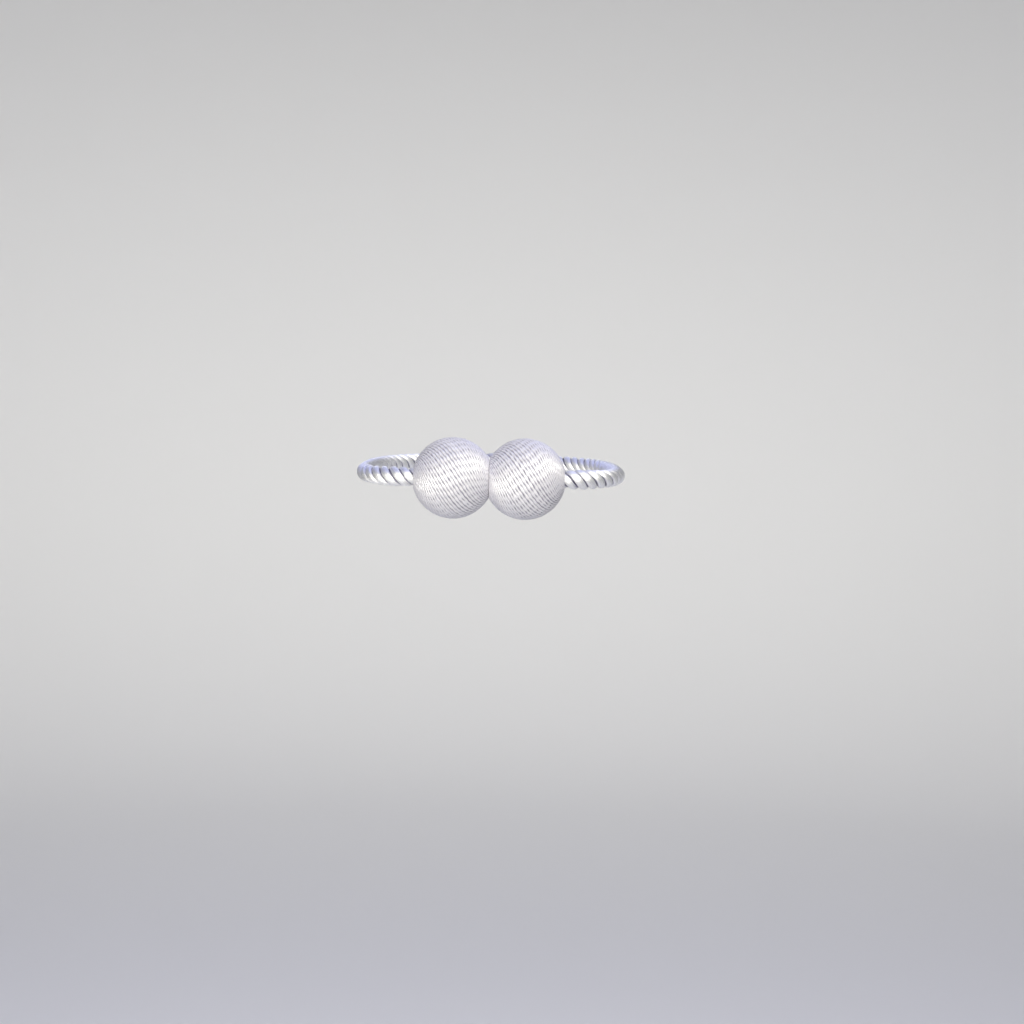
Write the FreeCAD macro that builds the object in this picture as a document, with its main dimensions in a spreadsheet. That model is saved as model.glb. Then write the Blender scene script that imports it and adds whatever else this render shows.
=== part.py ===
import FreeCAD, Part

import math
import os

import Sketcher
from FreeCAD import Placement, Rotation, Vector

# Magnetic curtain holdback: two yarn-wound balls that snap together, joined by a twisted rope.
# The loop lies level round a gathered curtain. The origin is the middle of the loop, +Z runs up
# the curtain, and the balls meet at the front, at -Y. All sizes are in millimetres and degrees.

# The driving dimensions: name, value and what it is
SIZES = [
    ("ball_diameter", 42.0, "over the yarn"),
    ("contact_diameter", 20.0, "round flat on which the two balls meet"),
    ("yarn_thickness", 1.8, "layer of yarn over the core"),
    ("yarn_slack", 0.05, "between the round of the core and the yarn"),
    ("yarn_setback", 0.1, "from the plane where the magnets meet to the yarn"),
    ("strand_count", 42, "passes of yarn side by side round the ball"),
    ("strand_angle", 56.0, "between a strand and the axis of the ball"),
    ("strand_relief", 0.25, "depth between two strands as a share of their pitch round the ball"),
    ("lip_radius", 0.7, "rounding where the yarn dips into a hole"),
    ("magnet_diameter", 15.0, "disc magnet"),
    ("magnet_thickness", 5.0, "disc magnet"),
    ("magnet_chamfer", 0.4, "on both rims of the magnet"),
    ("magnet_play", 0.1, "all round the magnet in its pocket"),
    ("yarn_play", 0.2, "between the magnet or the rope and the yarn round it"),
    ("mouth_chamfer", 0.4, "on the mouths of the pocket and of the bore"),
    ("needle_hole", 5.0, "diameter of the hole for the needle that winds the ball"),
    ("rope_diameter", 9.0, "over the three strands"),
    ("rope_play", 0.15, "all round the rope in its bore"),
    ("rope_depth", 12.0, "of the rope's end below the top of the ball"),
    ("bore_land", 1.4, "width of the flat of the core round the bore"),
    ("first_run", 5.4, "of straight rope outside the left ball, to the first corner"),
    ("last_run", 5.9, "of straight rope outside the right ball, to the last corner"),
    ("side_reach", 25.6, "from the top of a ball out to the side of the loop"),
    ("loop_front", 57.0, "from the middle of the loop to the axis of the balls"),
]

# Worked out from the sizes above, in the sheet itself
DERIVED = [
    ("ball_centre", "=sqrt(pow(ball_diameter / 2; 2) - pow(contact_diameter / 2; 2))"),
    ("ball_top", "=ball_centre + ball_diameter / 2"),
    ("core_radius", "=ball_diameter / 2 - yarn_thickness - yarn_slack"),
    ("core_face", "=yarn_setback + yarn_thickness"),
    ("pocket_radius", "=magnet_diameter / 2 + magnet_play"),
    ("needle_radius", "=needle_hole / 2"),
    ("bore_radius", "=rope_diameter / 2 + rope_play"),
    ("land_radius", "=bore_radius + bore_land"),
    ("land_face", "=ball_centre + sqrt(pow(core_radius; 2) - pow(land_radius; 2))"),
    ("bore_bottom", "=ball_top - rope_depth"),
    ("loop_side", "=ball_top + side_reach"),
]

SHEET = "Sizes"

# The rope's corners between its first and last, seen from above: x as a share of the loop's
# half width and y as a share of loop_front. The rope leaves the left ball, goes round behind
# the curtain and comes back to the right ball.
ROUTE = [
    (-0.926, -0.826),
    (-1.008, -0.535),
    (-0.992, -0.158),
    (-0.937, 0.256),
    (-0.765, 0.640),
    (-0.435, 0.914),
    (-0.024, 1.012),
    (0.405, 0.950),
    (0.760, 0.698),
    (0.957, 0.312),
    (1.012, -0.113),
    (1.029, -0.510),
    (0.939, -0.818),
]
ARC_SHARE = 0.45

# How finely a strand is laid out: rings of points from the flat to the mouth of the bore
BANDS = 24
POINTS_PER_STRAND = 2


def make_sheet(doc):
    """The sheet that holds the driving dimensions and what follows from them."""
    sheet = doc.addObject("Spreadsheet::Sheet", SHEET)
    row = 1
    for alias, value, note in SIZES:
        sheet.set("A%d" % row, alias)
        sheet.set("B%d" % row, str(value))
        sheet.setAlias("B%d" % row, alias)
        sheet.set("C%d" % row, note)
        row += 1
    doc.recompute()
    for alias, formula in DERIVED:
        sheet.set("A%d" % row, alias)
        sheet.set("B%d" % row, formula)
        sheet.setAlias("B%d" % row, alias)
        doc.recompute()
        row += 1
    return sheet


def origin_plane(body, role):
    """The body's own origin plane, found by its role."""
    for feature in body.Origin.OriginFeatures:
        if feature.Role == role:
            return feature
    raise ValueError("no plane " + role)


def new_sketch(body, role):
    """An empty sketch flat on one of the body's origin planes."""
    sketch = body.newObject("Sketcher::SketchObject", body.Name + "_sketch")
    sketch.AttachmentSupport = (origin_plane(body, role), [""])
    sketch.MapMode = "FlatFace"
    return sketch


def drive(sketch, kind, places, alias, value):
    """One dimension of a sketch, bound to a named size in the sheet."""
    index = sketch.addConstraint(Sketcher.Constraint(kind, *places, value))
    sketch.setExpression("Constraints[%d]" % index, "%s.%s" % (SHEET, alias))


def rim_names(shape, x, radius):
    """The names of the round edges of a shape at a place along its axis."""
    names = []
    for number, edge in enumerate(shape.Edges, start=1):
        curve = edge.Curve
        if not isinstance(curve, Part.Circle):
            continue
        if abs(curve.Center.x - x) < 0.01 and abs(curve.Radius - radius) < 0.01:
            names.append("Edge%d" % number)
    return names


def add_chamfer(body, base, edges, alias):
    """A chamfer on named edges of a feature, as wide as a size in the sheet."""
    chamfer = body.newObject("PartDesign::Chamfer", body.Name + "_chamfer")
    chamfer.Base = (base, edges)
    chamfer.setExpression("Size", "%s.%s" % (SHEET, alias))
    return chamfer


def make_core(doc, sheet, label, place):
    """A turned ball: a flat with a magnet pocket, and opposite it a bore for the rope."""
    body = doc.addObject("PartDesign::Body", label)
    body.Label = label
    sketch = new_sketch(body, "XZ_Plane")
    face, land = sheet.core_face, sheet.land_face
    pocket_end, bore_end = sheet.magnet_thickness, sheet.bore_bottom
    pocket, bore, needle = sheet.pocket_radius, sheet.bore_radius, sheet.needle_radius
    radius, centre = sheet.core_radius, sheet.ball_centre
    face_edge = math.sqrt(radius ** 2 - (centre - face) ** 2)
    corners = [
        (face, face_edge),
        (face, pocket),
        (pocket_end, pocket),
        (pocket_end, needle),
        (bore_end, needle),
        (bore_end, bore),
        (land, bore),
        (land, sheet.land_radius),
    ]
    points = [Vector(x, y, 0) for x, y in corners]
    for start, end in zip(points, points[1:]):
        sketch.addGeometry(Part.LineSegment(start, end), False)
    top = Vector(centre, radius, 0)
    arc = sketch.addGeometry(Part.Arc(points[-1], top, points[0]), False)
    for line in range(6):
        sketch.addConstraint(Sketcher.Constraint("Coincident", line, 2, line + 1, 1))
    for line in (0, 2, 4, 6):
        sketch.addConstraint(Sketcher.Constraint("Vertical", line))
    for line in (1, 3, 5):
        sketch.addConstraint(Sketcher.Constraint("Horizontal", line))
    sketch.addConstraint(Sketcher.Constraint("Coincident", 6, 2, arc, 1))
    sketch.addConstraint(Sketcher.Constraint("Coincident", 0, 1, arc, 2))
    sketch.addConstraint(Sketcher.Constraint("PointOnObject", arc, 3, -1))
    drive(sketch, "DistanceX", (-1, 1, arc, 3), "ball_centre", centre)
    drive(sketch, "Radius", (arc,), "core_radius", radius)
    drive(sketch, "DistanceX", (-1, 1, 0, 2), "core_face", face)
    drive(sketch, "DistanceX", (-1, 1, 2, 1), "magnet_thickness", pocket_end)
    drive(sketch, "DistanceX", (-1, 1, 4, 1), "bore_bottom", bore_end)
    drive(sketch, "DistanceX", (-1, 1, 6, 1), "land_face", land)
    drive(sketch, "DistanceY", (-1, 1, 0, 2), "pocket_radius", pocket)
    drive(sketch, "DistanceY", (-1, 1, 3, 1), "needle_radius", needle)
    drive(sketch, "DistanceY", (-1, 1, 5, 2), "bore_radius", bore)
    turned = body.newObject("PartDesign::Revolution", label + "_turned")
    turned.Profile = sketch
    turned.ReferenceAxis = (sketch, ["H_Axis"])
    turned.Angle = 360.0
    doc.recompute()
    rims = rim_names(turned.Shape, face, pocket) + rim_names(turned.Shape, land, bore)
    body.Tip = add_chamfer(body, turned, rims, "mouth_chamfer")
    body.Placement = place
    doc.recompute()
    return body


def make_magnet(doc, sheet, label, place):
    """A disc magnet whose face lies in the plane where the two balls meet."""
    body = doc.addObject("PartDesign::Body", label)
    body.Label = label
    sketch = new_sketch(body, "YZ_Plane")
    radius = sheet.magnet_diameter / 2
    disc = sketch.addGeometry(Part.Circle(Vector(0, 0, 0), Vector(0, 0, 1), radius), False)
    sketch.addConstraint(Sketcher.Constraint("Coincident", disc, 3, -1, 1))
    drive(sketch, "Diameter", (disc,), "magnet_diameter", sheet.magnet_diameter)
    pad = body.newObject("PartDesign::Pad", label + "_disc")
    pad.Profile = sketch
    pad.setExpression("Length", SHEET + ".magnet_thickness")
    doc.recompute()
    rims = rim_names(pad.Shape, 0.0, radius)
    rims += rim_names(pad.Shape, sheet.magnet_thickness, radius)
    body.Tip = add_chamfer(body, pad, rims, "magnet_chamfer")
    body.Placement = place
    doc.recompute()
    return body


def yarn_profile(sheet):
    """The outline of the yarn, from inside the flat to the bore: place, radius and normal."""
    outer = sheet.ball_diameter / 2
    centre = sheet.ball_centre
    lip = sheet.lip_radius
    face = sheet.yarn_setback
    hole = sheet.magnet_diameter / 2 + sheet.yarn_play
    mouth = sheet.rope_diameter / 2 + sheet.yarn_play
    slant = math.sqrt(0.5)
    outline = [
        (sheet.core_face, hole, 0.0, -1.0),
        (face + lip, hole, 0.0, -1.0),
        (face + lip * (1 - slant), hole + lip * (1 - slant), -slant, -slant),
        (face, hole + lip, -1.0, 0.0),
    ]
    edge = math.sqrt(outer ** 2 - (centre - face) ** 2)
    outline.append((face, edge - lip / 2, -1.0, 0.0))
    start = math.log(math.tan(math.asin((edge + lip) / outer) / 2))
    lip_angle = math.asin((mouth + lip) / (outer - lip))
    end = math.log(math.tan((math.pi - lip_angle) / 2))
    for band in range(BANDS + 1):
        step = start + (end - start) * band / BANDS
        polar = 2 * math.atan(math.exp(step))
        along, out = -math.cos(polar), math.sin(polar)
        outline.append((centre + outer * along, outer * out, along, out))
    lip_centre = centre + (outer - lip) * math.cos(lip_angle)
    turn = lip_angle / 2 - math.pi / 4
    outline.append((lip_centre + lip * math.cos(turn), mouth + lip + lip * math.sin(turn),
                    math.cos(turn), math.sin(turn)))
    outline.append((lip_centre, mouth, 0.0, -1.0))
    outline.append((sheet.land_face, mouth, 0.0, -1.0))
    return outline


def yarn_rings(sheet):
    """Rings of points over the ball: crests on the outline, grooves between the strands."""
    count = int(round(sheet.strand_count)) * POINTS_PER_STRAND
    pull = math.tan(math.radians(sheet.strand_angle))
    rings = []
    for x, radius, along, out in yarn_profile(sheet):
        polar = math.atan2(radius, sheet.ball_centre - x)
        twist = pull * math.log(math.tan(polar / 2))
        pitch = 2 * math.pi * radius / sheet.strand_count
        ring = []
        for number in range(count):
            depth = sheet.strand_relief * pitch * (number % POINTS_PER_STRAND)
            angle = twist + 2 * math.pi * number / count
            reach = radius - out * depth
            place = x - along * depth
            ring.append(Vector(place, reach * math.cos(angle), reach * math.sin(angle)))
        rings.append(ring)
    return rings


def facet(corners):
    """A flat face between corners."""
    return Part.Face(Part.makePolygon(list(corners) + [corners[0]]))


def yarn_solid(sheet):
    """The layer of yarn on a ball, with every strand as a spiral ridge from hole to hole."""
    rings = yarn_rings(sheet)
    faces = [facet(rings[0]), facet(rings[-1])]
    for near, far in zip(rings, rings[1:]):
        for number in range(len(near)):
            following = (number + 1) % len(near)
            a, b, c, d = near[number], near[following], far[following], far[number]
            if a.distanceToPoint(c) < b.distanceToPoint(d):
                faces += [facet([a, b, c]), facet([a, c, d])]
            else:
                faces += [facet([a, b, d]), facet([b, c, d])]
    skin = Part.makeShell(faces)
    skin.sewShape()
    solid = Part.Solid(skin.Shells[0])
    if solid.Volume < 0:
        solid.reverse()
    return solid.cut(core_room(sheet)).Solids[0]


def core_room(sheet):
    """The room for the core inside the yarn, seated on both flats of the core."""
    radius = sheet.core_radius + sheet.yarn_slack
    centre = sheet.ball_centre
    face, land = sheet.core_face, sheet.land_face
    face_edge = math.sqrt(radius ** 2 - (centre - face) ** 2)
    land_edge = math.sqrt(radius ** 2 - (land - centre) ** 2)
    corners = [
        Vector(land, land_edge, 0),
        Vector(land, 0, 0),
        Vector(face, 0, 0),
        Vector(face, face_edge, 0),
    ]
    edges = [Part.LineSegment(a, b).toShape() for a, b in zip(corners, corners[1:])]
    edges.append(Part.Arc(corners[3], Vector(centre, radius, 0), corners[0]).toShape())
    outline = Part.Face(Part.Wire(edges))
    return outline.revolve(Vector(0, 0, 0), Vector(1, 0, 0), 360)


def make_yarn(doc, solid, label, place):
    """One ball's layer of yarn, set in its place."""
    yarn = doc.addObject("Part::Feature", label)
    yarn.Label = label
    yarn.Shape = solid
    yarn.Placement = place
    return yarn


def rope_corners(sheet):
    """The corners of the rope's route, from its seat in the left ball to the right one."""
    front = sheet.loop_front
    top = sheet.ball_top
    seat = sheet.bore_bottom
    points = [Vector(-seat, -front, 0), Vector(-top - sheet.first_run, -front, 0)]
    for side, back in ROUTE:
        points.append(Vector(side * sheet.loop_side, back * front, 0))
    points += [Vector(top + sheet.last_run, -front, 0), Vector(seat, -front, 0)]
    return points


def rope_line(points):
    """Straight runs joined by tangent arcs, and the radius of each arc."""
    edges = []
    radii = []
    start = points[0]
    for before, corner, after in zip(points, points[1:], points[2:]):
        into = corner - before
        out = after - corner
        reach = ARC_SHARE * min(into.Length, out.Length)
        turn = into.getAngle(out)
        radius = reach / math.tan(turn / 2)
        into.normalize()
        out.normalize()
        first = corner - into * reach
        last = corner + out * reach
        inward = (out - into).normalize()
        middle = corner + inward * (radius / math.cos(turn / 2) - radius)
        edges.append(Part.LineSegment(start, first).toShape())
        edges.append(Part.Arc(first, middle, last).toShape())
        radii.append(radius)
        start = last
    edges.append(Part.LineSegment(start, points[-1]).toShape())
    return Part.Wire(edges), radii


def make_rope(doc, sheet, label):
    """The rope as a plain round tube, seated face to face on the bottom of both bores."""
    points = rope_corners(sheet)
    line, radii = rope_line(points)
    radius = sheet.rope_diameter / 2
    circle = Part.Wire(Part.makeCircle(radius, points[0], points[1] - points[0]))
    rope = doc.addObject("Part::Feature", label)
    rope.Label = label
    rope.Shape = line.makePipeShell([circle], True, False)
    print("rope arcs: " + ", ".join("%.1f" % value for value in radii) + " mm")
    print("rope length %.1f mm" % line.Length)
    volume = math.pi * radius ** 2 * line.Length
    print("rope volume %.1f, section by length %.1f mm3" % (rope.Shape.Volume, volume))
    return rope


def check(doc, pieces):
    """Stop at any object with an error and at any piece that is no valid solid."""
    doc.recompute()
    for item in doc.Objects:
        for state in item.State:
            if state in ("Invalid", "Error"):
                raise RuntimeError(item.Label + " is " + state)
    for piece in pieces:
        shape = piece.Shape
        if shape.isNull() or not shape.isValid() or len(shape.Solids) != 1:
            raise RuntimeError(piece.Label + " is not one valid solid")


def main():
    doc = FreeCAD.newDocument("curtain_holdback")
    sheet = make_sheet(doc)
    front = Vector(0, -sheet.loop_front, 0)
    sides = {
        "right": Placement(front, Rotation(Vector(0, 0, 1), 0)),
        "left": Placement(front, Rotation(Vector(0, 0, 1), 180)),
    }
    yarn = yarn_solid(sheet)
    pieces = []
    for side, place in sides.items():
        pieces.append(make_core(doc, sheet, "ball_core_" + side, place))
        pieces.append(make_magnet(doc, sheet, "magnet_" + side, place))
        pieces.append(make_yarn(doc, yarn, "yarn_cover_" + side, place))
    pieces.append(make_rope(doc, sheet, "rope"))
    check(doc, pieces)
    os.makedirs("parts", exist_ok=True)
    for piece in pieces:
        piece.Shape.exportStep("parts/%s.step" % piece.Label)
        box = piece.Shape.BoundBox
        print("%s: volume %.0f mm3, x %.1f to %.1f, y %.1f to %.1f, z %.1f to %.1f" % (
            piece.Label, piece.Shape.Volume, box.XMin, box.XMax, box.YMin, box.YMax,
            box.ZMin, box.ZMax))


main()
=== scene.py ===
import math

import bpy
import numpy as np
from mathutils import Matrix, Vector


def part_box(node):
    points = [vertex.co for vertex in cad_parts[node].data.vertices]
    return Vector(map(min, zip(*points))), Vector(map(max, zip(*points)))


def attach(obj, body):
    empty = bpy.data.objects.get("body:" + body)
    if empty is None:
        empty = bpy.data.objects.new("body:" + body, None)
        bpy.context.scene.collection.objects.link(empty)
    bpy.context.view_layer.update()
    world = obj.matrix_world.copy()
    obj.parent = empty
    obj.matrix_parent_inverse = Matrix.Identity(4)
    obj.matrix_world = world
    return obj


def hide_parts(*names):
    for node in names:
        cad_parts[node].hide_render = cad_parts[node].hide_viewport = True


# Dresses the curtain holdback: wound yarn on both balls, a rope of three strands, and the
# finishes of the magnets and cores. Everything is in metres, in the frame of the solids.

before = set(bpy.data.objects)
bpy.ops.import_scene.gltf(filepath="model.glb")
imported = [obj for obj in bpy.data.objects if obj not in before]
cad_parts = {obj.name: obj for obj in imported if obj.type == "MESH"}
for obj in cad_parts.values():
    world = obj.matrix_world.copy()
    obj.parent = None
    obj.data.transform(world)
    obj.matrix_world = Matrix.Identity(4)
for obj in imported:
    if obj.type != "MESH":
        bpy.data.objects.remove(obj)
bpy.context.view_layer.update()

MM = 0.001
FULL_TURN = 2 * math.pi
random = np.random.default_rng(7)

# The balls, with the same sizes as the solids
BALL_RADIUS = 21.0 * MM
CONTACT_RADIUS = 10.0 * MM
BALL_CENTRE = math.sqrt(BALL_RADIUS ** 2 - CONTACT_RADIUS ** 2)
BALL_TOP = BALL_CENTRE + BALL_RADIUS
CORE_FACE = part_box("ball_core_right")[0][0]
LAND_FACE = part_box("ball_core_right")[1][0]
YARN_SETBACK = 0.03 * MM
YARN_THICKNESS = 1.8 * MM
MAGNET_HOLE = 7.7 * MM
ROPE_HOLE = 4.5 * MM
LIP_RADIUS = 0.7 * MM
SHOULDER_RADIUS = 1.6 * MM

# The winding: its strands, and the plies of each, with sizes across a strand in half widths
STRAND_COUNT = 42
STRAND_ANGLE = math.radians(56.0)
PLY_COUNT = 2
PLY_LAY = 9.0 * MM
PLY_OFFSET = 0.31
PLY_RADIUS = 0.66
GROOVE_FLOOR = -0.35
YARN_FLATTENING = 0.80

# The yarn is pressed flatter where the balls meet, and this fades out away from there
FLAT_SQUEEZE = 0.7
FADE_FROM_FLAT = 4
FADE_WITH_TURN = 3

# What makes a winding look real: how strands differ, and how they sway from side to side
PLY_DRIFT = 1.9
PLY_DRIFT_SPREAD = 0.5
SWAYS = ((0.035, 9.0 * MM), (0.02, 4.3 * MM))
SWAY_DRAWS = 3
STRAND_SHADE = 0.12
STRAND_SWELL = 0.10

# The heights at which a strand counts as deep in a groove, and as on top: between them the painted
# shade in the grooves fades out
GROOVE_HEIGHT = -0.1
CREST_HEIGHT = 1.0

# How fine the winding's mesh is, and where its columns lie round the ball, counted in strands
COLUMNS_PER_STRAND = 9
COLUMN_PLACES = np.arange(STRAND_COUNT * COLUMNS_PER_STRAND) / COLUMNS_PER_STRAND
ROW_STEP = 0.55 * MM
FLAT_STEP = 0.3 * MM
LIP_STEP = 0.25 * MM
TURN_STEP = 0.017
LINING_ROWS = 25
LEAST_ARC_ROWS = 3
LEAST_LINE_ROWS = 2

# The rope
ROPE_LAY = 16.5 * MM
ROPE_STRANDS = 3
STRAND_OFFSET = 2.40 * MM
STRAND_DEPTH = 2.04 * MM
STRAND_WIDTH = 2.72 * MM
SWELL = 0.15
SWELL_REACH = 8.0 * MM

# How the rope's strands differ: each runs a little ahead or behind, and has its own tone
STRAND_LEAD = 0.05
LEAD_LENGTH = 23.0 * MM
STRAND_TONE = 0.05

# The yarns of each rope strand
STRAND_YARNS = 12
YARN_LAY = -30.0 * MM
YARN_RELIEF = 0.16 * MM
YARN_ROUNDNESS = 0.7
# How much darker the lines between the yarns are made: painted shade
YARN_SHADE = 0.45

# How far out a rope strand counts as deep in a groove, as a share, and how far it is from there
# to the top
# The colour is darkened deep in these grooves with painted shade.
GROOVE_SHARE = 0.36
GROOVE_FADE = 0.3

# How fine the rope's mesh is
ROPE_STEP = 0.85 * MM
POINTS_PER_YARN = 5
LINE_POINTS = 24

# The rope's route: the solids' corners, as shares of the loop's half width and of its front
LOOP_FRONT = 57.0 * MM
LOOP_SIDE = BALL_TOP + 25.6 * MM
ROPE_DEPTH = 12.0 * MM
FIRST_RUN = 5.4 * MM
LAST_RUN = 5.9 * MM
ROUTE = [
    (-0.926, -0.826),
    (-1.008, -0.535),
    (-0.992, -0.158),
    (-0.937, 0.256),
    (-0.765, 0.640),
    (-0.435, 0.914),
    (-0.024, 1.012),
    (0.405, 0.950),
    (0.760, 0.698),
    (0.957, 0.312),
    (1.012, -0.113),
    (1.029, -0.510),
    (0.939, -0.818),
]

# The two yarns: colours are shares of red, green and blue, and gloss is an index of refraction.
# The colour deep in the grooves is painted shade.
ROPE_YARN = {
    "name": "rope_yarn",
    "streaks_across": 6000.0,
    "dark": (0.20, 0.19, 0.31),
    "light": (0.50, 0.48, 0.57),
    "painted_groove_shade": (0.11, 0.10, 0.24),
    "gloss": 6.5,
    "roughness": 0.58,
    "gloss_stretch": 0.4,
}
BALL_YARN = {
    "name": "ball_yarn",
    "streaks_across": 8000.0,
    "dark": (0.53, 0.515, 0.59),
    "light": (0.79, 0.775, 0.81),
    "painted_groove_shade": (0.32, 0.31, 0.37),
    "gloss": 2.5,
    "roughness": 0.50,
    "gloss_stretch": 0.15,
}

# What both yarns share: streaks of fibre, soft patches, and painted shade and less silk where a
# point lies deep
STREAKS_ALONG = 300.0
FIBRE_DETAIL = 3.0
FIBRE_STRENGTH = 0.35
FIBRE_HEIGHT = 0.08 * MM
PATCH_SCALE = 160.0
PATCH_DETAIL = 2.0
PATCH_SHARE = 0.25
TONE_RANGE = (0.25, 1.05)
SILK_DEPTHS = (0.2, 0.7)
SILK_RANGE = (0.15, 1.0)
GROOVE_END = 0.6
QUARTER_TURN = 0.25
WHITE = (1.0, 1.0, 1.0)

# The wood of the cores
WOOD_DARK = (0.50, 0.34, 0.19)
WOOD_LIGHT = (0.69, 0.52, 0.33)
WOOD_ROUGHNESS = 0.6
GRAIN_SCALE = (40.0, 400.0, 400.0)
GRAIN_DETAIL = 6.0
GRAIN_START = 0.35
GRAIN_END = 0.65
GRAIN_STRENGTH = 0.2
GRAIN_HEIGHT = 0.1 * MM

# The nickel plate of the magnets
NICKEL_COLOUR = (0.66, 0.65, 0.62)
POLISH_SCALE = 900.0
POLISH_DETAIL = 4.0
POLISH_RANGE = (0.14, 0.30)

# The photograph: where the balls meet in it, and how large a pixel is there
IMAGE_SIZE = 1024
CONTACT_PIXEL = (489.0, 478.5)
PIXEL = 0.512 * MM
CAMERA_DISTANCE = 1.35
CAMERA_ELEVATION = math.radians(5.6)
CAMERA_ROLL = math.radians(1.1)
SENSOR = 36.0

# The backdrop: a floor with a wall all round
FLOOR_LEVEL = -0.42
FLAT_RADIUS = 1.1
WALL_RADIUS = 2.4
WALL_HEIGHT = 3.0
BEND_ROWS = 16
WALL_COLUMNS = 96
PAPER_COLOUR = (0.81, 0.81, 0.82)
PAPER_ROUGHNESS = 0.9

# The colours of the light
WARM = (1.0, 0.978, 0.885)
BLUE = (0.36, 0.42, 1.0)
COOL = (0.80, 0.83, 1.0)
PALE = (0.88, 0.90, 1.0)
ROOM_GLOW = 0.05


def make_camera():
    """A camera level with the photograph's, with the balls where the photograph has them."""
    data = bpy.data.cameras.new("camera")
    data.sensor_width = SENSOR
    data.lens = SENSOR * CAMERA_DISTANCE / (IMAGE_SIZE * PIXEL)
    camera = bpy.data.objects.new("camera", data)
    bpy.context.scene.collection.objects.link(camera)
    tilt = Matrix.Rotation(math.radians(90) - CAMERA_ELEVATION, 4, "X")
    turn = tilt @ Matrix.Rotation(CAMERA_ROLL, 4, "Z")
    right = turn @ Vector((1, 0, 0))
    up = turn @ Vector((0, 1, 0))
    back = turn @ Vector((0, 0, 1))
    aside = (IMAGE_SIZE / 2 - CONTACT_PIXEL[0]) * PIXEL
    below = (CONTACT_PIXEL[1] - IMAGE_SIZE / 2) * PIXEL
    aim = Vector((0, -LOOP_FRONT, 0)) + right * aside + up * below
    turn.translation = aim + back * CAMERA_DISTANCE
    camera.matrix_world = turn
    bpy.context.scene.camera = camera


def new_material(name):
    """An empty material: itself, its tree of nodes and its shader."""
    material = bpy.data.materials.new(name)
    material.use_nodes = True
    tree = material.node_tree
    return material, tree, tree.nodes["Principled BSDF"]


def feed(tree, node, values):
    """Sets inputs of a node, each to a plain value or to another node's output."""
    for name, value in values.items():
        if isinstance(value, bpy.types.NodeSocket):
            tree.links.new(value, node.inputs[name])
        else:
            node.inputs[name].default_value = value
    return node


def add_node(tree, kind, values):
    """A new node of a kind, with its inputs set."""
    return feed(tree, tree.nodes.new(kind), values)


def add_noise(tree, places, detail, scale=1.0):
    """Soft noise over the given places."""
    values = {"Vector": places, "Scale": scale, "Detail": detail}
    return add_node(tree, "ShaderNodeTexNoise", values).outputs["Fac"]


def stretch_places(tree, places, scale):
    """The given places, stretched along each axis."""
    values = {"Vector": places, "Scale": scale}
    return add_node(tree, "ShaderNodeMapping", values).outputs["Vector"]


def object_places(tree):
    """The places of an object's points."""
    return add_node(tree, "ShaderNodeTexCoord", {}).outputs["Object"]


def point_value(tree, name):
    """The number that is stored on each point of a mesh."""
    attribute = add_node(tree, "ShaderNodeAttribute", {})
    attribute.attribute_name = name
    return attribute.outputs["Fac"]


def calculate(tree, operation, *values):
    """The result of an operation on plain numbers and other nodes' outputs."""
    node = tree.nodes.new("ShaderNodeMath")
    node.operation = operation
    return feed(tree, node, dict(enumerate(values))).outputs[0]


def bring_to_range(tree, value, start=(0.0, 1.0), end=(0.0, 1.0)):
    """A value, brought from one range to another."""
    values = {"Value": value, "From Min": start[0], "From Max": start[1]}
    values.update({"To Min": end[0], "To Max": end[1]})
    return add_node(tree, "ShaderNodeMapRange", values).outputs["Result"]


def add_ramp(tree, value, first, last):
    """A colour that runs between two, each given as a place on the ramp and a colour."""
    ramp = add_node(tree, "ShaderNodeValToRGB", {"Fac": value})
    for element, (place, colour) in zip(ramp.color_ramp.elements, (first, last)):
        element.position = place
        element.color = (*colour, 1.0)
    return ramp.outputs["Color"]


def mix_colours(tree, factor, first, second, kind="MIX"):
    """Two colours mixed by a factor."""
    mix = tree.nodes.new("ShaderNodeMix")
    mix.data_type = "RGBA"
    mix.blend_type = kind
    feed(tree, mix, {"Factor": factor, 6: first, 7: second})
    return mix.outputs[2]


def add_bump(tree, height, strength, distance):
    """Small relief with a given height."""
    values = {"Height": height, "Strength": strength, "Distance": distance}
    return add_node(tree, "ShaderNodeBump", values).outputs["Normal"]


def yarn_colour(tree, fibres, depth, dark, light, painted_groove_shade):
    """The colour of yarn: streaks, soft patches, each strand's tone, and painted shade in the
    grooves.
    """
    patches = add_noise(tree, object_places(tree), PATCH_DETAIL, PATCH_SCALE)
    total = calculate(tree, "ADD", fibres, point_value(tree, "tone"))
    total = calculate(tree, "MULTIPLY_ADD", patches, PATCH_SHARE, total)
    tone = bring_to_range(tree, total, start=TONE_RANGE)
    colour = mix_colours(tree, tone, (*dark, 1.0), (*light, 1.0))
    # Painted shade: the colour is multiplied darker where the yarn lies deep in a groove
    shade = add_ramp(tree, depth, (0.0, painted_groove_shade), (GROOVE_END, WHITE))
    return mix_colours(tree, 1.0, colour, shade, kind="MULTIPLY")


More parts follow.
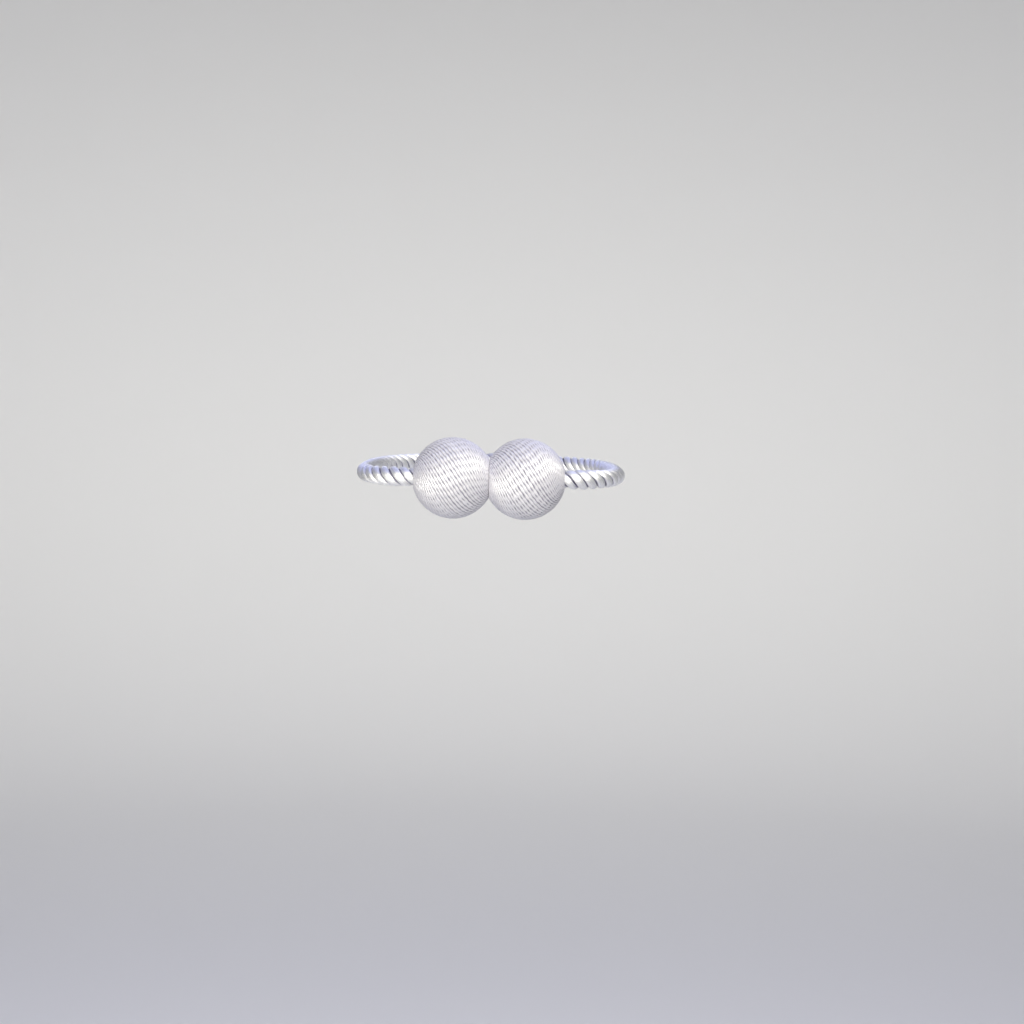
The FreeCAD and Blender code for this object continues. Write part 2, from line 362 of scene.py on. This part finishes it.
def yarn_material(name, streaks_across, dark, light, painted_groove_shade, gloss, roughness, gloss_stretch):
    """Silky pale lavender yarn: streaks of fibre along it, and darker where it lies deep, which is
    painted shade.
    """
    material, tree, shader = new_material(name)
    tangent = add_node(tree, "ShaderNodeTangent", {})
    tangent.direction_type = "UV_MAP"
    tangent.uv_map = "lay"
    lay = add_node(tree, "ShaderNodeUVMap", {})
    lay.uv_map = "lay"
    streaks = stretch_places(tree, lay.outputs["UV"], (STREAKS_ALONG, streaks_across, 1.0))
    fibres = add_noise(tree, streaks, FIBRE_DETAIL)
    depth = point_value(tree, "depth")
    feed(tree, shader, {
        "Base Color": yarn_colour(tree, fibres, depth, dark, light, painted_groove_shade),
        "IOR": gloss,
        "Specular IOR Level": bring_to_range(tree, depth, start=SILK_DEPTHS, end=SILK_RANGE),
        "Roughness": roughness,
        "Anisotropic": gloss_stretch,
        "Anisotropic Rotation": QUARTER_TURN,
        "Tangent": tangent.outputs["Tangent"],
        "Normal": add_bump(tree, fibres, FIBRE_STRENGTH, FIBRE_HEIGHT),
    })
    return material


def wood_material():
    """Pale turned wood with long soft grain."""
    material, tree, shader = new_material("turned_wood")
    grain = add_noise(tree, stretch_places(tree, object_places(tree), GRAIN_SCALE), GRAIN_DETAIL)
    feed(tree, shader, {
        "Base Color": add_ramp(tree, grain, (GRAIN_START, WOOD_DARK), (GRAIN_END, WOOD_LIGHT)),
        "Roughness": WOOD_ROUGHNESS,
        "Normal": add_bump(tree, grain, GRAIN_STRENGTH, GRAIN_HEIGHT),
    })
    return material


def nickel_material():
    """Bright nickel plate with faint cloudy polish marks."""
    material, tree, shader = new_material("nickel_plate")
    marks = add_noise(tree, object_places(tree), POLISH_DETAIL, POLISH_SCALE)
    feed(tree, shader, {
        "Base Color": (*NICKEL_COLOUR, 1.0),
        "Metallic": 1.0,
        "Roughness": bring_to_range(tree, marks, end=POLISH_RANGE),
    })
    return material


def paper_material():
    """The pale floor and backdrop."""
    material, tree, shader = new_material("backdrop_paper")
    feed(tree, shader, {"Base Color": (*PAPER_COLOUR, 1.0), "Roughness": PAPER_ROUGHNESS})
    return material


def add_object(name, points, faces, material):
    """A smooth-shaded mesh object from points and a list of faces."""
    mesh = bpy.data.meshes.new(name)
    mesh.from_pydata(points.tolist(), [], faces)
    mesh.shade_smooth()
    mesh.materials.append(material)
    made = bpy.data.objects.new(name, mesh)
    bpy.context.scene.collection.objects.link(made)
    return made


def grid_faces(rows, columns, first=0, ring=False):
    """Four-sided faces of a tube of rows of points; in a ring its last row meets its first."""
    strips = rows if ring else rows - 1
    row, column = np.meshgrid(np.arange(strips), np.arange(columns), indexing="ij")
    next_row, next_column = (row + 1) % rows, (column + 1) % columns
    corners = [
        row * columns + column,
        row * columns + next_column,
        next_row * columns + next_column,
        next_row * columns + column,
    ]
    return (first + np.stack(corners, axis=-1).reshape(-1, 4)).tolist()


def end_faces(rows, columns, first=0):
    """The two faces that close the ends of a tube of rows of points."""
    start = list(range(first, first + columns))
    end = [place + (rows - 1) * columns for place in start]
    return [start[::-1], end]


def grid_lay(along, across):
    """Texture places of a tube's faces: along each strand, and across it in metres."""
    rows, columns = len(along), len(across) - 1
    row, column = np.meshgrid(np.arange(rows - 1), np.arange(columns), indexing="ij")
    near_along, far_along = along[row], along[row + 1]
    near_across, far_across = across[column], across[column + 1]
    corners = [
        np.stack([near_along, near_across], axis=-1),
        np.stack([near_along, far_across], axis=-1),
        np.stack([far_along, far_across], axis=-1),
        np.stack([far_along, near_across], axis=-1),
    ]
    return np.stack(corners, axis=2).reshape(-1, 2)


def set_lay(made, places):
    """Stores the texture places on the object's mesh."""
    layer = made.data.uv_layers.new(name="lay")
    layer.data.foreach_set("uv", places.astype(np.float32).ravel())


def set_values(made, name, values):
    """Stores one number for each point of the object's mesh."""
    layer = made.data.attributes.new(name, "FLOAT", "POINT")
    layer.data.foreach_set("value", values.astype(np.float32).ravel())


def arc_points(centre, radius, start, end, step):
    """Points and outward directions along an arc, without its last point."""
    count = max(LEAST_ARC_ROWS, int(abs(end - start) * radius / step))
    angles = np.linspace(start, end, count, endpoint=False)
    out = np.stack([np.cos(angles), np.sin(angles)], axis=-1)
    return np.array(centre) + radius * out, out


def line_points(start, end, out, step):
    """Points along a straight stretch with one outward direction, without its last point."""
    start, end = np.array(start), np.array(end)
    count = max(LEAST_LINE_ROWS, int(np.linalg.norm(end - start) / step))
    share = np.linspace(0, 1, count, endpoint=False)[:, None]
    return start + (end - start) * share, np.tile(np.array(out, float), (count, 1))


def round_points(start_angle, end_angle):
    """Points and outward directions round the ball, closer together towards both its ends."""
    start = math.log(math.tan((math.pi - start_angle) / 2))
    end = math.log(math.tan((math.pi - end_angle) / 2))
    count = int((end - start) / TURN_STEP)
    polar = 2 * np.arctan(np.exp(np.linspace(start, end, count, endpoint=False)))
    out = np.stack([-np.cos(polar), np.sin(polar)], axis=-1)
    return np.array((BALL_CENTRE, 0.0)) + BALL_RADIUS * out, out


def ball_outline():
    """The outline of a wound ball, as place and radius: pocket, flat, round and mouth."""
    hole, lip, face = MAGNET_HOLE, LIP_RADIUS, YARN_SETBACK
    inner = BALL_RADIUS - SHOULDER_RADIUS
    shoulder_x = face + SHOULDER_RADIUS
    shoulder_y = math.sqrt(inner ** 2 - (BALL_CENTRE - shoulder_x) ** 2)
    shoulder_angle = math.atan2(shoulder_y, shoulder_x - BALL_CENTRE)
    mouth_y = ROPE_HOLE + lip
    mouth_x = BALL_CENTRE + math.sqrt((BALL_RADIUS - lip) ** 2 - mouth_y ** 2)
    mouth_angle = math.atan2(mouth_y, mouth_x - BALL_CENTRE)
    shoulder = (shoulder_x, shoulder_y)
    steps = [
        line_points((CORE_FACE, hole), (face + lip, hole), (0, -1), ROW_STEP),
        arc_points((face + lip, hole + lip), lip, -math.pi / 2, -math.pi, LIP_STEP),
        line_points((face, hole + lip), (face, shoulder_y), (-1, 0), FLAT_STEP),
        arc_points(shoulder, SHOULDER_RADIUS, math.pi, shoulder_angle, FLAT_STEP),
        round_points(shoulder_angle, mouth_angle),
        arc_points((mouth_x, mouth_y), lip, mouth_angle, -math.pi / 2, LIP_STEP),
        line_points((mouth_x, ROPE_HOLE), (LAND_FACE, ROPE_HOLE), (0, -1), ROW_STEP),
    ]
    places = np.concatenate([place for place, out in steps])
    normals = np.concatenate([out for place, out in steps])
    return places, normals


def lining_outline():
    """The inner side of a wound ball, along its core, from the bore back to the flat."""
    inner = BALL_RADIUS - YARN_THICKNESS
    start = math.acos((LAND_FACE - BALL_CENTRE) / inner)
    end = math.acos((CORE_FACE - BALL_CENTRE) / inner)
    angle = np.linspace(start, end, LINING_ROWS)
    return np.stack([BALL_CENTRE + inner * np.cos(angle), inner * np.sin(angle)], axis=-1)


def winding_twist(places):
    """How far round the ball each row has turned, at a constant angle to the ball's axis."""
    polar = np.arctan2(places[:, 1], BALL_CENTRE - places[:, 0])
    return math.tan(STRAND_ANGLE) * np.log(np.tan(polar / 2))


def winding_along(places, twist):
    """How far along a strand each row lies."""
    radius = places[:, 1]
    climb = np.linalg.norm(np.diff(places, axis=0), axis=1)
    swing = (radius[1:] + radius[:-1]) / 2 * np.diff(twist)
    return np.concatenate([[0.0], np.cumsum(np.hypot(climb, swing))])


def yarn_squeeze(places, normals):
    """How high the yarn of each row stands, as a share of its width."""
    near_flat = np.clip((BALL_CENTRE - places[:, 0]) / BALL_CENTRE, 0.0, 1.0)
    faces_flat = np.clip(-normals[:, 0], 0.0, 1.0)
    flatness = near_flat ** FADE_FROM_FLAT * faces_flat ** FADE_WITH_TURN
    return YARN_FLATTENING * (1.0 - FLAT_SQUEEZE * flatness)


def winding_height(strand, along, sway, phase):
    """Height of the yarn over its middle plane, in half widths, and the strand on top.

    strand is the place round the ball counted in strands, along the place along a strand.
    """
    nearest = np.floor(strand + 0.5).astype(int)
    owner = nearest % STRAND_COUNT
    best = np.full(strand.shape, GROOVE_FLOOR)
    for neighbour in (-1, 0, 1):
        index = nearest + neighbour
        which = index % STRAND_COUNT
        across = 2 * (strand - index - sway[which])
        turn = FULL_TURN * along / PLY_LAY + phase[which]
        for ply in range(PLY_COUNT):
            angle = turn + FULL_TURN * ply / PLY_COUNT
            aside = across - PLY_OFFSET * np.sin(angle)
            round_part = np.sqrt(np.clip(PLY_RADIUS ** 2 - aside ** 2, 0.0, None))
            top = PLY_OFFSET * np.cos(angle) + round_part
            height = np.where(round_part > 0, top, GROOVE_FLOOR)
            owner = np.where(height > best, which, owner)
            best = np.maximum(best, height)
    return best, owner


def points_round_axis(place, reach, angle):
    """Points round the ball's axis: how far along it, how far from it, and the angle round it."""
    return np.stack([place, reach * np.cos(angle), reach * np.sin(angle)], axis=-1)


def wound_side(twist, along, places, normals):
    """The yarn's outer side: rows of points, and how deep and how dark each point is."""
    phase = np.cumsum(random.normal(PLY_DRIFT, PLY_DRIFT_SPREAD, STRAND_COUNT))
    # One row more is drawn than there are sways, so that the later draws stay as they are
    starts = random.uniform(0, FULL_TURN, (SWAY_DRAWS, STRAND_COUNT))
    shade = random.uniform(-STRAND_SHADE, STRAND_SHADE, STRAND_COUNT)
    swell = random.uniform(-STRAND_SWELL, STRAND_SWELL, STRAND_COUNT)
    half_width = math.pi * places[:, 1] / STRAND_COUNT * math.cos(STRAND_ANGLE)
    scale = half_width * yarn_squeeze(places, normals)
    points, depth, tone = [], [], []
    for row, (place, normal) in enumerate(zip(places, normals)):
        sway = sum(
            size * np.sin(along[row] / length + start)
            for (size, length), start in zip(SWAYS, starts)
        )
        height, owner = winding_height(COLUMN_PLACES, along[row], sway, phase)
        height = height + swell[owner]
        sink = (PLY_OFFSET + PLY_RADIUS + STRAND_SWELL - height) * scale[row]
        angle = twist[row] + FULL_TURN * COLUMN_PLACES / STRAND_COUNT
        axis_place, reach = place[:, None] - normal[:, None] * sink
        points.append(points_round_axis(axis_place, reach, angle))
        # How deep each point lies, which darkens its colour as painted shade in the grooves
        depth.append(np.clip((height - GROOVE_HEIGHT) / (CREST_HEIGHT - GROOVE_HEIGHT), 0.0, 1.0))
        tone.append(shade[owner])
    return np.array(points), np.array(depth), np.array(tone)


def lining_side(twist):
    """The yarn's inner side, which turns back to where the outer side began."""
    back_turn = (twist[0] - twist[-1] + math.pi) % FULL_TURN - math.pi
    angle = twist[-1] + np.linspace(0, back_turn, LINING_ROWS)[:, None]
    angle = angle + FULL_TURN * COLUMN_PLACES / STRAND_COUNT
    place, reach = lining_outline().T[:, :, None]
    return points_round_axis(np.broadcast_to(place, angle.shape), reach, angle)


def make_winding(name, material, turned):
    """The wound yarn of one ball, each strand of plies running from hole to hole."""
    places, normals = ball_outline()
    twist = winding_twist(places)
    along = winding_along(places, twist)
    points, depth, tone = wound_side(twist, along, places, normals)
    rows, columns = depth.shape
    points = np.concatenate([points, lining_side(twist)]).reshape(-1, 3)
    if turned:
        points[:, :2] *= -1
    points[:, 1] -= LOOP_FRONT
    made = add_object(name, points, grid_faces(rows + LINING_ROWS, columns, ring=True), material)
    width = FULL_TURN * BALL_RADIUS * math.cos(STRAND_ANGLE) / STRAND_COUNT
    across = np.arange(columns + 1) / COLUMNS_PER_STRAND * width
    lining_along = along[-1] + ROW_STEP * np.arange(1, LINING_ROWS + 2)
    hidden = np.zeros((LINING_ROWS, columns))
    set_lay(made, grid_lay(np.append(along, lining_along), across))
    set_values(made, "depth", np.concatenate([depth, hidden]))
    set_values(made, "tone", np.concatenate([tone, hidden]))
    return made


def rope_points():
    """The corners of the rope's route, the same as the solids'."""
    seat = BALL_TOP - ROPE_DEPTH
    points = [(-seat, -LOOP_FRONT), (-BALL_TOP - FIRST_RUN, -LOOP_FRONT)]
    points += [(side * LOOP_SIDE, back * LOOP_FRONT) for side, back in ROUTE]
    points += [(BALL_TOP + LAST_RUN, -LOOP_FRONT), (seat, -LOOP_FRONT)]
    return [(x, y, 0.0) for x, y in points]


def rope_line():
    """The rope's middle line, read from a smooth curve with the route's corners."""
    data = bpy.data.curves.new("rope_line", "CURVE")
    data.dimensions = "3D"
    spline = data.splines.new("NURBS")
    corners = rope_points()
    spline.points.add(len(corners) - 1)
    for point, corner in zip(spline.points, corners):
        point.co = (*corner, 1.0)
    spline.order_u = 3
    spline.use_endpoint_u = True
    spline.resolution_u = LINE_POINTS
    holder = bpy.data.objects.new("rope_line", data)
    mesh = bpy.data.meshes.new_from_object(holder)
    line = np.array([vertex.co[:] for vertex in mesh.vertices])
    bpy.data.objects.remove(holder)
    bpy.data.meshes.remove(mesh)
    return line


def evenly(line, step):
    """Points a step apart along a line, and the distance of each from its start."""
    lengths = np.linalg.norm(np.diff(line, axis=0), axis=1)
    distance = np.concatenate([[0.0], np.cumsum(lengths)])
    count = int(distance[-1] / step) + 1
    wanted = np.linspace(0.0, distance[-1], count)
    points = np.stack([np.interp(wanted, distance, line[:, axis]) for axis in range(3)], axis=-1)
    return points, wanted


def rope_swell(distance):
    """How much thicker the rope is at each place, most a little way out of each ball."""
    out_of_ball = np.minimum(distance, distance[-1] - distance) - ROPE_DEPTH
    share = np.clip(out_of_ball / SWELL_REACH, 0.0, None)
    return 1.0 + SWELL * share * np.exp(1.0 - share)


def strand_directions(line, distance, number):
    """At each place of the rope's line, the ways out to one strand and across it."""
    ahead = np.gradient(line, axis=0)
    ahead /= np.linalg.norm(ahead, axis=1)[:, None]
    up = np.array([0.0, 0.0, 1.0])
    side = np.cross(ahead, up)
    # Two numbers are drawn and one is used, so that the later draws stay as they are
    start = random.uniform(0, FULL_TURN, 2)[0]
    lead = STRAND_LEAD * np.sin(distance / LEAD_LENGTH + start)
    angle = (FULL_TURN * (distance / ROPE_LAY + number / ROPE_STRANDS) + lead)[:, None]
    outward = np.cos(angle) * up + np.sin(angle) * side
    sideways = -np.sin(angle) * up + np.cos(angle) * side
    return outward, sideways


def rope_strand(line, distance, number):
    """One strand of the rope: rows of points round it, and how deep each point lies."""
    outward, sideways = strand_directions(line, distance, number)
    swell = rope_swell(distance)[:, None]
    columns = STRAND_YARNS * POINTS_PER_YARN
    round_angle = FULL_TURN * np.arange(columns) / columns
    place = round_angle + FULL_TURN * distance[:, None] / YARN_LAY
    lobe = np.abs(np.sin(STRAND_YARNS / 2 * round_angle)) ** YARN_ROUNDNESS
    relief = YARN_RELIEF * (lobe - 1.0)
    out_part = np.cos(place) * (STRAND_DEPTH + relief)
    side_part = np.sin(place) * (STRAND_WIDTH + relief) * swell
    reach = (STRAND_OFFSET + out_part) * swell
    points = line[:, None, :] + reach[:, :, None] * outward[:, None, :]
    points += side_part[:, :, None] * sideways[:, None, :]
    share = (STRAND_OFFSET + out_part) / (STRAND_OFFSET + STRAND_DEPTH)
    depth = np.clip((share - GROOVE_SHARE) / GROOVE_FADE, 0.0, 1.0)
    # The lines between the yarns count as deeper too, so painted shade darkens them
    return points, depth * (1.0 - YARN_SHADE + YARN_SHADE * lobe)


def make_rope(material):
    """The rope's three strands, laid right-handed round its middle line."""
    line, distance = evenly(rope_line(), ROPE_STEP)
    along = distance * math.hypot(1.0, FULL_TURN * STRAND_OFFSET / ROPE_LAY)
    perimeter = math.pi * (STRAND_DEPTH + STRAND_WIDTH)
    meshes, faces, ends, lays, depths, tones = [], [], [], [], [], []
    for number in range(ROPE_STRANDS):
        points, depth = rope_strand(line, distance, number)
        rows, columns = depth.shape
        faces += grid_faces(rows, columns, first=number * rows * columns)
        ends += end_faces(rows, columns, first=number * rows * columns)
        lays.append(grid_lay(along, np.arange(columns + 1) / columns * perimeter))
        meshes.append(points.reshape(-1, 3))
        depths.append(depth)
        tones.append(np.full((rows, columns), (number - 1) * STRAND_TONE))
    rope = add_object("rope_strands", np.concatenate(meshes), faces + ends, material)
    lays.append(np.zeros((len(ends) * columns, 2)))
    set_lay(rope, np.concatenate(lays))
    set_values(rope, "depth", np.concatenate(depths))
    set_values(rope, "tone", np.concatenate(tones))
    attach(rope, "root")
    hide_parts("rope")


def make_balls(material):
    """The wound yarn of both balls, in place of the plainer solids."""
    for side, turned in (("right", False), ("left", True)):
        winding = make_winding("winding_" + side, material, turned)
        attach(winding, "root")
        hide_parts("yarn_cover_" + side)


def finish_solids():
    """The finishes of the solids that stay as they are."""
    wood, nickel = wood_material(), nickel_material()
    for side in ("left", "right"):
        for node, material in (("ball_core_", wood), ("magnet_", nickel)):
            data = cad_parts[node + side].data
            data.materials.clear()
            data.materials.append(material)


def make_backdrop():
    """A pale floor that rises in a soft curve into a wall all round the object."""
    bend = WALL_RADIUS - FLAT_RADIUS
    angle = np.linspace(0, math.pi / 2, BEND_ROWS)
    reach = np.concatenate([[0.0], FLAT_RADIUS + bend * np.sin(angle), [WALL_RADIUS]])
    level = np.concatenate([[0.0], bend - bend * np.cos(angle), [WALL_HEIGHT]]) + FLOOR_LEVEL
    turn = FULL_TURN * np.arange(WALL_COLUMNS) / WALL_COLUMNS
    points = np.stack([
        reach[:, None] * np.cos(turn),
        reach[:, None] * np.sin(turn),
        np.repeat(level[:, None], WALL_COLUMNS, axis=1),
    ], axis=-1)
    faces = grid_faces(len(reach), WALL_COLUMNS)
    backdrop = add_object("backdrop", points.reshape(-1, 3), faces, paper_material())


def add_light(name, place, size, power, colour, aim=(0.0, 0.0, 0.0), spread=180):
    """A soft rectangular light, with its power in watts and its spread in degrees."""
    data = bpy.data.lights.new(name, "AREA")
    data.shape = "RECTANGLE"
    data.size, data.size_y = size
    data.energy = power
    data.color = colour
    data.spread = math.radians(spread)
    light = bpy.data.objects.new(name, data)
    light.location = place
    light.rotation_mode = "QUATERNION"
    light.rotation_quaternion = (Vector(aim) - Vector(place)).to_track_quat("-Z", "Y")
    bpy.context.scene.collection.objects.link(light)


def make_lights():
    """Warm light from the front, blue light from above, and soft pale light all round."""
    add_light("key", place=(0.03, -1.45, 0.48), size=(1.6, 1.1), power=9.4, colour=WARM, spread=70)
    add_light("top", place=(0.0, 0.1, 0.95), size=(1.2, 0.9), power=1.6, colour=BLUE, spread=120)
    add_light("back", place=(0.0, 1.6, 1.1), size=(2.0, 0.8), power=1.2, colour=COOL, spread=60)
    add_light(
        "wash",
        place=(0.0, 0.9, 1.7),
        aim=(0.0, 1.8, 0.0),
        size=(2.6, 0.5),
        power=5.0,
        colour=WHITE,
        spread=80,
    )
    add_light("ceiling", place=(0.0, 0.0, 2.5), size=(3.4, 3.4), power=5.0, colour=PALE)
    world = bpy.data.worlds.new("room")
    world.use_nodes = True
    background = world.node_tree.nodes["Background"]
    background.inputs["Color"].default_value = (*COOL, 1.0)
    background.inputs["Strength"].default_value = ROOM_GLOW
    bpy.context.scene.world = world
    bpy.context.scene.view_settings.view_transform = "Standard"


make_camera()
make_rope(yarn_material(**ROPE_YARN))
make_balls(yarn_material(**BALL_YARN))
finish_solids()
make_backdrop()
make_lights()
